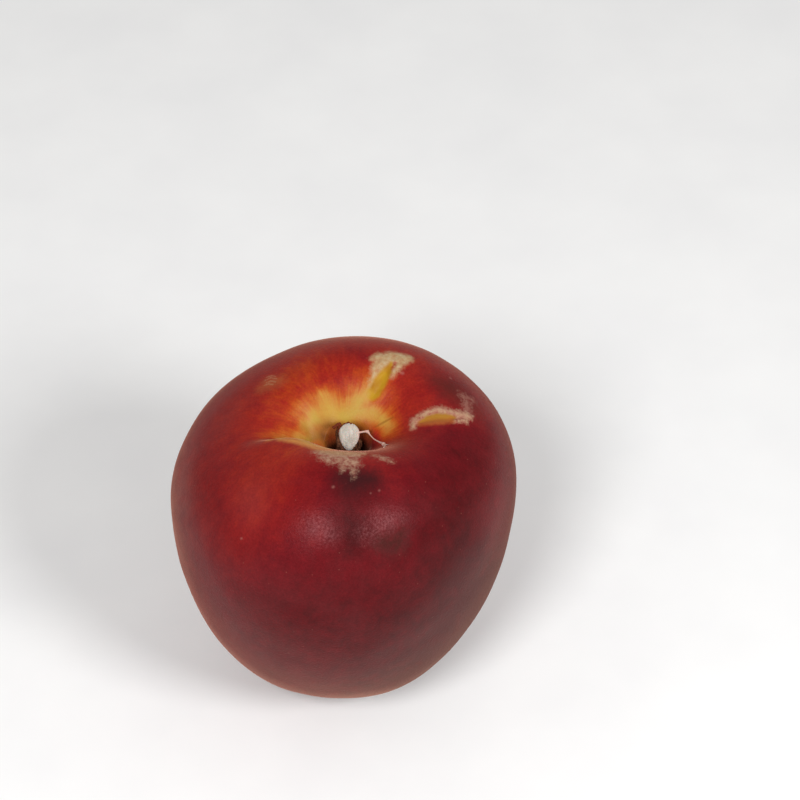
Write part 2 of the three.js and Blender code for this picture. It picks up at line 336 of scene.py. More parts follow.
class Fruit:
    """The skin's grid of points with its normals, and distances on it."""

    def __init__(self):
        share = (np.arange(ROWS, -1, -1) / ROWS) ** ROW_CROWDING
        polar = math.pi - (math.pi - PIT_POLAR + (PIT_POLAR - REST_POLAR) * share)
        azimuth = 2 * math.pi * np.arange(AROUND) / AROUND
        self.azimuth, self.polar = np.meshgrid(azimuth, polar)
        self.from_stem = HALF_WIDTH * (math.pi - self.polar)
        self.points = skin_points(self.azimuth, self.polar)
        self.normals = self.grid_normals()
        self.crown = self.polar > 0.5 * math.pi

    def grid_normals(self):
        around = np.roll(self.points, -1, 1) - np.roll(self.points, 1, 1)
        up = np.gradient(self.points, axis=0)
        normals = np.cross(around, up)
        return normals / np.linalg.norm(normals, axis=-1, keepdims=True)

    def at(self, x, y):
        """The point of the crown over x and y."""
        away = np.hypot(self.points[..., 0] - x, self.points[..., 1] - y)
        nearest = np.argmin(np.where(self.crown, away, np.inf))
        return self.points.reshape(-1, 3)[nearest]

    def beyond(self, run):
        """Distance outside a run of (x, y, half-width), less than 0 inside it."""
        places = [(self.at(x, y), width) for x, y, width in run]
        best = np.full(self.polar.shape, np.inf)
        for (start, wide), (end, narrow) in zip(places, places[1:] or places):
            way = end - start
            length = max(float(way @ way), 1e-9)
            share = np.clip((self.points - start) @ way / length, 0, 1)
            away = np.linalg.norm(self.points - start - share[..., None] * way, axis=-1)
            best = np.minimum(best, away - (wide + (narrow - wide) * share))
        return best

    def beyond_all(self, runs):
        """Distance outside the nearest of several runs."""
        return np.minimum.reduce([self.beyond(run) for run in runs])

    def near(self, place, sizes):
        """1 at a place in space, fading over the sizes along X, Y and Z."""
        offset = (self.points - place) / sizes
        return np.exp(-(offset**2).sum(-1))


def towards(azimuth, degrees, spread):
    """1 at an azimuth, fading over a spread in degrees."""
    firm = 1 / math.radians(spread) ** 2
    return np.exp(firm * (np.cos(azimuth - math.radians(degrees)) - 1))


def summed(amounts, shares):
    return sum(amount * share for amount, share in zip(amounts, shares))


def blush_of(fruit):
    """How red the skin is, from 0 to about 1."""
    azimuth, points, from_stem = fruit.azimuth, fruit.points, fruit.from_stem
    left = towards(azimuth, *LEFT_SIDE)
    front = smoothstep(points[..., 1], *FRONT_BEGINS)
    blotches = sum(sized_ripple(points, *waves) for waves in BLOTCHES)
    from_ground = fruit.beyond_all(YELLOW_GROUND)
    from_ground += blotches * smoothstep(from_stem, *BLOTCHES_BEGIN)
    shares = (1, left, front)
    edge = smoothstep(from_ground, summed(RED_BEGINS, shares), summed(RED_FULL, shares))
    from_crest = fruit.beyond(YELLOW_CREST) + sized_ripple(points, *CREST_WAVES)
    crest_edge = smoothstep(from_crest, *CREST_EDGE)
    level = BLUSH_LEVEL + BLUSH_FRONT * towards(azimuth, *FRONT_SIDE)
    blush = level * np.minimum(edge, crest_edge)
    for amount, (near_stem, far), (degrees, spread) in BLUSH_SIDES:
        blush += amount * smoothstep(from_stem, near_stem, far) * towards(azimuth, degrees, spread)
    for amount, place, sizes in BLUSH_SPOTS:
        blush += amount * fruit.near(place, sizes)
    blush += BLUSH_DOWNWARDS * smoothstep(from_stem, *DOWNWARDS_BEGINS)
    blush += BLUSH_BASE * smoothstep(points[..., 2], *BASE_BEGINS)
    blush += BLUSH_SUTURE * (1 - smoothstep(fruit.beyond(SUTURE_SHADE), *SUTURE_FADES))
    in_pit = 1 - smoothstep(from_stem, *PIT_RIGHT_FADES)
    blush += BLUSH_PIT_RIGHT * in_pit * towards(azimuth, *PIT_RIGHT_SIDE)
    return blush


# How far from the stem the cavity's wall takes its brown colours with painted shade and light, and
# where they are gone: everywhere, and what is added at the left, at the right and at the back.
BROWN_AND_SHADE_TO = (2.6, 2.9, 0.8, 0.6)
BROWN_AND_SHADE_GONE = (3.3, 6.4, 1.1, 2.0)
WALL_LEFT = (175, 40)
WALL_RIGHT = (-5, 50)
WALL_BACK = (45, 24)
WALL_FOOT = 56.4
WALL_HEIGHT = 3.8


def wall_of(fruit):
    """How much of the cavity's wall is brown with painted shade and light, its height from floor to
    rim and how far left it is.
    """
    left, right, back = (
        towards(fruit.azimuth, *side) for side in (WALL_LEFT, WALL_RIGHT, WALL_BACK)
    )
    shares = (1, left, right, back)
    brown_and_shade = 1 - smoothstep(
        fruit.from_stem, summed(BROWN_AND_SHADE_TO, shares), summed(BROWN_AND_SHADE_GONE, shares)
    )
    height = np.clip((fruit.points[..., 2] - WALL_FOOT) / WALL_HEIGHT, 0, 1)
    return brown_and_shade, height, left


def marks_of(fruit):
    """The distance outside each kind of mark, in millimetres."""
    kinds = {
        "flesh": [BACK_SCAR],
        "amber": [RIGHT_SCAR],
        "glow": [RIGHT_GLOW],
        "cork": BACK_CORK,
        "right_cork": RIGHT_CORK,
        "smoke": [SHOULDER_SMOKE],
        "spur": [RIGHT_SPUR],
        "russet": [*FRONT_RUSSET, FRONT_STREAK],
        "fold_edge": [FOLD_EDGE],
        "painted_valley_shade": [VALLEY_SHADE],
        "lip_shade": [LIP_SHADE],
        "lit_wall": [LIT_WALL],
        "brown_line": [BROWN_LINE],
        "scratch": SCRATCHES,
        "tan_patch": [TAN_PATCH],
        "dot": [[dot] for dot in PALE_DOTS],
        "smudge": [SMUDGE],
        "painted_highlight": PAINTED_HIGHLIGHT_SPECKS,
        "scuff": [SCUFF],
    }
    return {kind: fruit.beyond_all(runs) for kind, runs in kinds.items()}


SKIN_WAVES = [(0.06, 22, 1), (0.025, 9, 2)]  # size, wavelength, seed
CORK_HEIGHT = 0.12
RUSSET_HEIGHT = 0.05
SCAR_DEPTH = 0.36
SCUFF_DEPTH = 0.10
WAVES_BEGIN = (0.2, 6)  # height above the floor
# How far outside a mark its relief is full and where it is gone.
CORK_EDGE = (-0.7, 0.6)
RUSSET_EDGE = (-0.7, 0.7)
SCAR_EDGE = (-1.1, 0.4)
SCUFF_EDGE = (-1.4, 0.6)
# The unevenness of the relief: share, wavelength, seed.
CORK_LUMPS = (0.3, 1.3, 3)
RUSSET_LUMPS = (0.5, 1.0, 4)
SCUFF_LUMPS = (0.4, 1.3, 5)


def relief_of(fruit, marks):
    """How far the skin stands out from its plain form."""
    points = fruit.points
    open_skin = smoothstep(profile_radius(fruit.polar), PIT_RADIUS, 2 * PIT_RADIUS)
    lifted = smoothstep(points[..., 2], *WAVES_BEGIN)
    slow_waves = sum(sized_ripple(points, *waves) for waves in SKIN_WAVES)
    relief = slow_waves * np.where(fruit.crown, open_skin, lifted)
    cork = np.minimum(marks["cork"], marks["right_cork"])
    scar = np.minimum(marks["flesh"], marks["amber"])
    on_cork = 1 - smoothstep(cork, *CORK_EDGE)
    on_scar = 1 - smoothstep(scar, *SCAR_EDGE)
    on_russet = 1 - smoothstep(marks["russet"], *RUSSET_EDGE)
    on_scuff = 1 - smoothstep(marks["scuff"], *SCUFF_EDGE)
    relief += CORK_HEIGHT * on_cork * (1 + sized_ripple(points, *CORK_LUMPS))
    relief -= SCAR_DEPTH * on_scar
    relief += RUSSET_HEIGHT * on_russet * (1 + sized_ripple(points, *RUSSET_LUMPS))
    relief -= SCUFF_DEPTH * on_scuff * (1 + sized_ripple(points, *SCUFF_LUMPS))
    return relief


def mesh_object(name, points, faces, smooth=True):
    """A new mesh object from points in millimetres."""
    mesh = bpy.data.meshes.new(name)
    mesh.from_pydata((np.asarray(points) * MM).tolist(), [], faces)
    mesh.polygons.foreach_set("use_smooth", [smooth] * len(mesh.polygons))
    mesh.update()
    piece = bpy.data.objects.new(name, mesh)
    bpy.context.scene.collection.objects.link(piece)
    return piece


def ring_faces(rings, around):
    """Faces of a closed body: its first point, its rings from the bottom up, its last point."""
    row, step = np.meshgrid(np.arange(rings - 1), np.arange(around), indexing="ij")
    low, turned = 1 + row * around, (step + 1) % around
    sides = np.stack([low + step, low + turned, low + around + turned, low + around + step], -1)
    last, top = 1 + rings * around, 1 + (rings - 1) * around
    faces = [(0, 1 + (i + 1) % around, 1 + i) for i in range(around)]
    faces += [tuple(face) for face in sides.reshape(-1, 4).tolist()]
    faces += [(last, top + i, top + (i + 1) % around) for i in range(around)]
    return faces


def ring_body(name, bottom, rings, top):
    points = np.concatenate([[bottom], np.asarray(rings).reshape(-1, 3), [top]])
    return mesh_object(name, points, ring_faces(len(rings), len(rings[0])))


def store(piece, name, values, ends):
    """Keeps a number for each point of a ring body."""
    full = np.concatenate([[ends[0]], np.asarray(values).ravel(), [ends[1]]])
    attribute = piece.data.attributes.new(name, "FLOAT", "POINT")
    attribute.data.foreach_set("value", full.astype(np.float32))


# Painted rim light: a tan patch on the -X side that lightens the left edge.
LEFT_RIM_LIGHT_SPOT = ((-33, -6, 44), (4, 13, 18))  # place, sizes
HAZE_SPOT = ((-17, -19.5, 63), (4, 5.5, 6))
BASE_BLUSH = 0.85  # at the middle of the flat spot
FAR = 9  # distances from a mark are kept up to this one


def make_fruit():
    fruit = Fruit()
    marks = marks_of(fruit)
    relief = relief_of(fruit, marks)
    points = fruit.points + fruit.normals * relief[..., None]
    piece = ring_body("nectarine_skin", (0, 0, 0), points, STEM_FOOT)
    store(piece, "blush", blush_of(fruit), (BASE_BLUSH, 0))
    store(piece, "from_stem", fruit.from_stem, (HALF_WIDTH * math.pi, 0))
    brown_and_shade, height, left = wall_of(fruit)
    # the share of the cavity's wall colour: brown, with painted shade and painted light
    store(piece, "wall_brown_and_shade", brown_and_shade, (0, 1))
    store(piece, "wall_height", height, (0, 1))
    store(piece, "wall_left", left, (0, 0))
    store(piece, "left_rim_light", fruit.near(*LEFT_RIM_LIGHT_SPOT), (0, 0))
    store(piece, "haze", fruit.near(*HAZE_SPOT), (0, 0))
    store(piece, "around_x", np.cos(fruit.azimuth), (0, 0))
    store(piece, "around_y", np.sin(fruit.azimuth), (0, 0))
    for name, values in marks.items():
        store(piece, name, np.minimum(values, FAR), (FAR, FAR))
    return piece


# ---- The stem's small forms, in millimetres from its foot. Routes are (x, y, z, radius) ----
FLAP = [
    (-1.5, 1.3, 4.6, 0.70), (-1.6, 1.5, 6.6, 0.60), (-1.5, 1.7, 8.2, 0.48),
    (-1.5, 1.7, 9.0, 0.42), (-2.1, 1.5, 8.95, 0.40), (-2.75, 1.2, 8.6, 0.30),
]
STUB_LUMPS = [  # half-sizes, centre, turn in degrees
    ((0.75, 0.8, 1.5), (2.15, 0.1, 5.2), 15),
    ((0.7, 0.6, 1.3), (1.75, -1.1, 3.9), -30),
    ((0.6, 0.7, 1.2), (1.5, 1.5, 6.6), 40),
]
STRAND_ON_PAD = [((1.2, 0.70, 0.2), 0.30), ((2.1, 0.80, 0.30), 0.24)]  # on the torn face
STRAND_FREE = [
    (3.2, 0.75, 7.95, 0.20), (4.0, 0.75, 8.0, 0.30), (4.5, 0.2, 7.65, 0.15),
    (5.3, -0.8, 7.5, 0.13), (6.3, -1.8, 7.7, 0.17), (7.05, -2.65, 8.05, 0.30),
    (7.4, -3.4, 8.45, 0.26), (7.35, -4.4, 9.0, 0.2), (7.2, -5.4, 9.75, 0.14),
]
HAIR = [(7.2, -3.0, 8.2, 0.16), (7.8, -3.3, 8.5, 0.08), (8.5, -4.2, 9.2, 0.05)]
SPIKE = [(4.0, 0.75, 8.0, 0.26), (4.2, 0.9, 8.3, 0.12)]
STRAND_KNOTS = [
    ((0.40, 0.30, 0.32), (4.0, 0.72, 7.95), -20),
    ((0.42, 0.48, 0.42), (7.15, -2.9, 8.15), 25),
]
FOOT_FLARE = 2.5  # how fast the stub thins above its foot
FLUTES = 3
FLUTE_DEPTH = 0.06  # share of the stub's radius
BARK_VOXEL = 0.09
BARK_FIBRES = (0.10, 0.9, 11)  # size, wavelength, seed
BARK_CRUMBS = (0.05, 0.45, 12)
BARK_SINK = 0.02  # how far the whole surface is set in
PITH_VOXEL = 0.07
PITH_FIBRES = (0.05, 1.5, 21)
PITH_CRUMBS = (0.012, 0.5, 22)
PITH_SINK = 0.01
PAD_SINK = 0.07
PAD_ENDS = (1.6, 2.4)  # from where to where the pad's fibres fade, to the right of the foot
RELAX_ROUNDS = 4


def lump_points(size, centre, turn):
    """A rounded lump as a mesh to be fused: its points and faces."""
    shape = bmesh.new()
    bmesh.ops.create_icosphere(shape, subdivisions=3, radius=1)
    place = Matrix.Translation(centre) @ Matrix.Rotation(math.radians(turn), 4, "Z")
    shape.transform(place @ Matrix.Diagonal((*size, 1)))
    shape.verts.ensure_lookup_table()
    points = [tuple(v.co) for v in shape.verts]
    faces = [tuple(v.index for v in f.verts) for f in shape.faces]
    shape.free()
    return points, faces


def tube_points(route, radii, around=14):
    """A tapered tube with closed ends along a route, as points and faces."""
    route = np.asarray(route, float)
    forward = np.gradient(route, axis=0)
    forward /= np.linalg.norm(forward, axis=1, keepdims=True)
    side = np.cross(forward, (0.2, 1, 0.1))
    side /= np.linalg.norm(side, axis=1, keepdims=True)
    up = np.cross(side, forward)
    turn = 2 * math.pi * np.arange(around) / around
    circle = np.cos(turn)[:, None, None] * side + np.sin(turn)[:, None, None] * up
    rings = route[:, None] + np.asarray(radii)[:, None, None] * circle.transpose(1, 0, 2)
    points = np.concatenate([[route[0]], rings.reshape(-1, 3), [route[-1]]])
    return points.tolist(), ring_faces(len(rings), around)


def curve_through(knots, steps):
    """A smooth route through points with a radius each: places and radii."""
    knots = np.asarray(knots, float)
    ends = np.concatenate([[2 * knots[0] - knots[1]], knots, [2 * knots[-1] - knots[-2]]])
    places = []
    for share in np.linspace(0, len(knots) - 1 - 1e-9, steps):
        i = int(share)
        t = share - i
        a, b, c, d = ends[i : i + 4]
        square = 2 * a - 5 * b + 4 * c - d
        cube = 3 * b - a - 3 * c + d
        places.append(0.5 * (2 * b + (c - a) * t + square * t**2 + cube * t**3))
    places = np.array(places)
    return places[:, :3], places[:, 3]


def joined(bodies):
    """The points and faces of all the bodies as one list of each."""
    points, faces = [], []
    for body_points, body_faces in bodies:
        start = len(points)
        points += list(body_points)
        faces += [tuple(start + i for i in face) for face in body_faces]
    return points, faces


def move_out(mesh, roughen):
    """Moves the points out by roughen(points) and places them over the fruit, in metres."""
    place = np.empty(3 * len(mesh.vertices), np.float32)
    out = np.empty_like(place)
    mesh.vertices.foreach_get("co", place)
    mesh.vertices.foreach_get("normal", out)
    place, out = place.reshape(-1, 3), out.reshape(-1, 3)
    moved = (place + out * roughen(place)[:, None] + STEM_FOOT) * MM
    mesh.vertices.foreach_set("co", moved.astype(np.float32).ravel())
    mesh.polygons.foreach_set("use_smooth", [True] * len(mesh.polygons))
    mesh.update()


def fuse(name, bodies, voxel, roughen):
    """Joins closed bodies, in millimetres from the stem's foot, into one roughened skin."""
    points, faces = joined(bodies)
    mesh = bpy.data.meshes.new(name)
    mesh.from_pydata(points, [], faces)
    piece = bpy.data.objects.new(name, mesh)
    bpy.context.scene.collection.objects.link(piece)
    remesh = piece.modifiers.new("fuse", "REMESH")
    remesh.mode = "VOXEL"
    remesh.voxel_size = voxel
    relax = piece.modifiers.new("relax", "SMOOTH")
    relax.iterations = RELAX_ROUNDS
    ready = piece.evaluated_get(bpy.context.evaluated_depsgraph_get())
    fused = bpy.data.meshes.new_from_object(ready)
    piece.modifiers.clear()
    piece.data = fused
    bpy.data.meshes.remove(mesh)
    fused.name = name
    move_out(fused, roughen)
    return piece


def on_face(across, up_slope, out):
    """A point placed on the torn face, or out from it."""
    slope = math.atan(TEAR_SLOPE)
    y = up_slope * math.cos(slope) - out * math.sin(slope)
    z = STUB_HEIGHT + up_slope * math.sin(slope) + out * math.cos(slope)
    return np.array([across, y, z])


def make_stub():
    around, rows = 48, 30
    turn = 2 * math.pi * np.arange(around) / around
    rings = []
    for share in np.linspace(0, 1, rows):
        thick = STUB_FOOT_RADIUS + (STUB_RADIUS - STUB_FOOT_RADIUS) * min(FOOT_FLARE * share, 1)
        bark = 1 - FLUTE_DEPTH * (1 - np.cos(FLUTES * turn + 2 * share))
        x, y = thick * bark * np.cos(turn), thick * bark * np.sin(turn)
        rings.append(np.stack([x, y, share * (STUB_HEIGHT + y * TEAR_SLOPE)], -1))
    shaft = np.concatenate([[(0, 0, 0)], np.asarray(rings).reshape(-1, 3), [(0, 0, STUB_HEIGHT)]])
    bodies = [(shaft.tolist(), ring_faces(rows, around))]
    bodies.append(tube_points(*curve_through(FLAP, 26)))
    bodies += [lump_points(*lump) for lump in STUB_LUMPS]

    def roughen(place):
        upright = place * (1, 1, 0.25)
        above_foot = smoothstep(place[:, 2], 0.05, 0.8)
        rough = sized_ripple(upright, *BARK_FIBRES) + sized_ripple(place, *BARK_CRUMBS)
        return rough * above_foot - BARK_SINK

    return fuse("stem_stub_bark", bodies, BARK_VOXEL, roughen)


def make_torn_end():
    around, rows = 56, 16
    turn = 2 * math.pi * np.arange(around) / around
    across = TORN_SHIFT + TORN_HALF_WIDTH * np.cos(turn) * (1 + TORN_TAPER * np.sin(turn))
    up_slope = TORN_HALF_LENGTH * np.sin(turn)
    rings = []
    for share in np.arange(rows) / rows:
        rise = math.sin(0.5 * math.pi * share)
        shrink = math.sqrt(1 - rise * rise)
        flat = [on_face(a * shrink, b * shrink, TORN_DOME * rise) for a, b in zip(across, up_slope)]
        rings.append(flat)
    ends = [on_face(0, 0, 0)], [on_face(0, 0, TORN_DOME)]
    pad = np.concatenate([ends[0], np.asarray(rings).reshape(-1, 3), ends[1]])
    strand = [(*on_face(*place), radius) for place, radius in STRAND_ON_PAD] + STRAND_FREE
    bodies = [
        (pad.tolist(), ring_faces(rows, around)),
        tube_points(*curve_through(strand, 60)),
        tube_points(*curve_through(HAIR, 12)),
        tube_points(*curve_through(SPIKE, 6)),
    ]
    bodies += [lump_points(*lump) for lump in STRAND_KNOTS]

    def roughen(place):
        across_fibre = place * (1, 0.35, 0.35)
        on_pad = 1 - smoothstep(place[:, 0], *PAD_ENDS)
        rough = sized_ripple(across_fibre, *PITH_FIBRES) + sized_ripple(place, *PITH_CRUMBS)
        return on_pad * (rough - PAD_SINK) - PITH_SINK

    return fuse("stem_torn_pith", bodies, PITH_VOXEL, roughen)


# ---- Materials ----
class Nodes:
    """Short calls for building a material's nodes. A number or a socket may be given anywhere."""

    def __init__(self, name):
        self.material = bpy.data.materials.new(name)
        self.material.use_nodes = True
        self.tree = self.material.node_tree
        self.shader = self.tree.nodes["Principled BSDF"]

    def put(self, socket, value):
        if isinstance(value, bpy.types.NodeSocket):
            self.tree.links.new(value, socket)
        elif isinstance(value, tuple) and len(value) == 3 and socket.type == "RGBA":
            socket.default_value = (*value, 1)
        else:
            socket.default_value = value

    def add(self, kind, inputs, output=0, **settings):
        node = self.tree.nodes.new(kind)
        for name, value in settings.items():
            setattr(node, name, value)
        for name, value in inputs.items():
            self.put(node.inputs[name], value)
        return node.outputs[output]

    def number(self, name):
        return self.add("ShaderNodeAttribute", {}, "Fac", attribute_name=name)

    def place(self):
        return self.add("ShaderNodeTexCoord", {}, "Object")

    def facing_away(self):
        """0 where the skin faces the viewer, 1 where it turns away."""
        return self.add("ShaderNodeLayerWeight", {"Blend": 0.5}, "Facing")

    def math(self, operation, *values):
        return self.add("ShaderNodeMath", dict(enumerate(values)), operation=operation)

    def times(self, a, b):
        return self.math("MULTIPLY", a, b)

    def plus(self, a, b):
        return self.math("ADD", a, b)

    def ease(self, value, low, high, start=0.0, end=1.0):
        """A smooth step from start at low to end at high. Low may be above high."""
        inputs = {"Value": value, "From Min": low, "From Max": high, "To Min": start, "To Max": end}
        return self.add("ShaderNodeMapRange", inputs, interpolation_type="SMOOTHSTEP")

    def vector(self, x, y, z):
        return self.add("ShaderNodeCombineXYZ", {0: x, 1: y, 2: z})

    def stretch(self, vector, scale):
        return self.add("ShaderNodeVectorMath", {0: vector, 1: scale}, operation="MULTIPLY")

    def noise(self, vector, scale, detail=2.0, roughness=0.5, distortion=0.0):
        inputs = {"Vector": vector, "Scale": scale, "Detail": detail, "Roughness": roughness}
        return self.add("ShaderNodeTexNoise", {**inputs, "Distortion": distortion}, "Fac")

    def mix(self, share, a, b, blend="MIX"):
        inputs = {0: share, 6: a, 7: b}
        return self.add("ShaderNodeMix", inputs, 2, data_type="RGBA", blend_type=blend)

    def blend(self, share, a, b):
        return self.add("ShaderNodeMix", {0: share, 2: a, 3: b}, 0)

    def ramp(self, value, stops):
        output = self.add("ShaderNodeValToRGB", {"Fac": value})
        colours = output.node.color_ramp
        while len(colours.elements) < len(stops):
            colours.elements.new(1)
        for element, (position, colour) in zip(colours.elements, stops):
            element.position = position
            element.color = (*colour, 1)
        return output

    def bump(self, height, distance, strength=1.0, normal=None):
        inputs = {"Height": height, "Distance": distance, "Strength": strength}
        if normal is not None:
            inputs["Normal"] = normal
        return self.add("ShaderNodeBump", inputs)

    def finish(self, colour, roughness, normal, **constants):
        self.put(self.shader.inputs["Base Color"], colour)
        self.put(self.shader.inputs["Roughness"], roughness)
        self.put(self.shader.inputs["Normal"], normal)
        for name, value in constants.items():
            self.shader.inputs[name.replace("_", " ")].default_value = value
        return self.material


PER_METRE = 1000  # noise scales below are given per millimetre

# Colours from yellow ground to the deepest maroon, by how red the skin is.
SKIN_COLOURS = [
    (0.00, (0.47, 0.27, 0.044)),
    (0.12, (0.46, 0.19, 0.032)),
    (0.24, (0.42, 0.095, 0.012)),
    (0.36, (0.36, 0.042, 0.007)),
    (0.50, (0.28, 0.016, 0.008)),
    (0.64, (0.205, 0.008, 0.008)),
    (0.80, (0.125, 0.004, 0.007)),
    (1.00, (0.050, 0.003, 0.004)),
]
# Colours of the cavity's wall, by height from its floor to its rim: brown, darkening to painted
# shade towards the floor. Part way up the left wall the colour is lighter: painted light that
# offsets the shade of the steep wall.
LEFT_WALL_BROWN_SHADE_AND_LIGHT = [
    (0.05, (0.055, 0.017, 0.007)),
    (0.20, (0.34, 0.080, 0.024)),
    (0.45, (0.55, 0.105, 0.028)),
    (0.66, (0.46, 0.082, 0.017)),
    (0.80, (0.20, 0.047, 0.008)),
    (1.00, (0.25, 0.085, 0.010)),
]
RIGHT_WALL_BROWN_AND_SHADE = [
    (0.10, (0.045, 0.012, 0.006)),
    (0.50, (0.19, 0.030, 0.012)),
    (1.00, (0.23, 0.080, 0.012)),
]
# Colours of the patterned marks, by noise.
CORK_COLOURS = [
    (0.32, (0.41, 0.235, 0.115)),
    (0.50, (0.46, 0.325, 0.165)),
    (0.68, (0.50, 0.40, 0.235)),
]
PINK_CORK_COLOURS = [
    (0.32, (0.40, 0.185, 0.13)),
    (0.50, (0.47, 0.28, 0.175)),
    (0.68, (0.49, 0.35, 0.21)),
]
RUSSET_COLOURS = [
    (0.32, (0.24, 0.085, 0.065)),
    (0.46, (0.37, 0.20, 0.13)),
    (0.64, (0.46, 0.31, 0.21)),
]
FLESH_COLOURS = [
    (0.35, (0.35, 0.155, 0.008)),
    (0.60, (0.42, 0.225, 0.012)),
]
LIP_RUSSET_COLOUR = (0.48, 0.34, 0.155)
GREENISH_COLOUR = (0.43, 0.295, 0.050)
BLOOM_COLOUR = (0.55, 0.36, 0.36)
# painted rim light on the -X side
RIM_LIGHT_COLOUR = (0.42, 0.19, 0.13)
PORE_COLOUR = (0.50, 0.20, 0.13)
PORES_PER_MM = 0.60
PORE_SHARE = 0.16
# How strongly the wall's brown, painted shade and painted light cover the skin.
WALL_BROWN_AND_SHADE_SHARE = 0.94
BLOOM_IN_CLOUDS = 0.012
BLOOM_IN_HAZE = 0.026
STREAKS = [(13.0, 0.30, 0.45), (30.0, 0.34, 0.48)]  # number around, run, strength
PATCHES = 0.11  # how strongly wide patches and a fine mottle change the redness
MOTTLE = 0.20
SATIN = 0.35  # the skin's roughness, and what is added to it
SATIN_GRAIN = 0.20
SATIN_ON_BLOOM = 0.6
SATIN_ON_SCUFF = 0.38
SATIN_TURNED_AWAY = 0.35
DRY_ROUGHNESS = 0.85
FINE_BUMP = (0.00007, 0.7)  # metres, strength
CORK_BUMP = (0.00020, 0.6)

# A mark is full where the distance outside it is below "full", and gone above "gone", both in
# millimetres. Coarse noise makes this edge ragged and fine noise makes it crumbly. A mark without
# a colour has a pattern instead.
Mark = namedtuple("Mark", "full gone ragged crumbly share colour")
MARK_LOOKS = {  # in the order in which they lie on each other
    "smoke": Mark(-2.2, 3.0, 3.0, 2.2, 0.45, (0.085, 0.020, 0.013)),
    "scuff": Mark(-2.4, 2.2, 3.6, 1.6, 1.00, (0.050, 0.010, 0.008)),
    "smudge": Mark(-2.0, 3.4, 3.0, 1.0, 0.92, (0.034, 0.007, 0.008)),
    # painted highlight: pale pink specks
    "painted_highlight": Mark(-1.5, 3.0, 3.0, 1.0, 1.00, (0.58, 0.27, 0.28)),
    # painted shade along the bottom of the fold's valley
    "painted_valley_shade": Mark(-0.8, 1.4, 0.8, 0.0, 0.60, (0.30, 0.135, 0.018)),
    "lip_shade": Mark(-0.5, 0.9, 0.3, 0.0, 0.62, (0.095, 0.024, 0.003)),
    "lit_wall": Mark(-0.4, 0.8, 0.3, 0.0, 0.60, (0.56, 0.15, 0.04)),
    "tan_patch": Mark(-1.6, 1.8, 2.6, 1.2, 0.42, (0.35, 0.115, 0.038)),
    "scratch": Mark(-0.10, 0.26, 0.4, 0.2, 0.40, (0.42, 0.23, 0.12)),
    "fold_edge": Mark(-0.8, 1.2, 1.0, 0.5, 0.76, (0.62, 0.285, 0.075)),
    "russet": Mark(-1.1, 1.0, 3.0, 1.6, 0.78, None),
    "spur": Mark(-1.3, 0.8, 3.6, 2.6, 0.44, (0.40, 0.20, 0.15)),
    "cork": Mark(-0.90, 0.80, 1.7, 0.8, 0.88, None),
    "right_cork": Mark(-0.95, 0.75, 2.0, 1.2, 0.88, None),
    "flesh": Mark(-0.60, 0.35, 0.7, 0.3, 1.00, None),
    "amber": Mark(-0.45, 0.25, 0.6, 0.3, 1.00, (0.32, 0.145, 0.018)),
    "glow": Mark(-0.6, 0.7, 0.8, 0.0, 0.85, (0.37, 0.100, 0.022)),
    "brown_line": Mark(-0.08, 0.22, 0.08, 0.0, 0.50, (0.19, 0.060, 0.006)),
    "dot": Mark(-0.35, 0.22, 0.2, 0.0, 0.30, (0.48, 0.22, 0.18)),
}


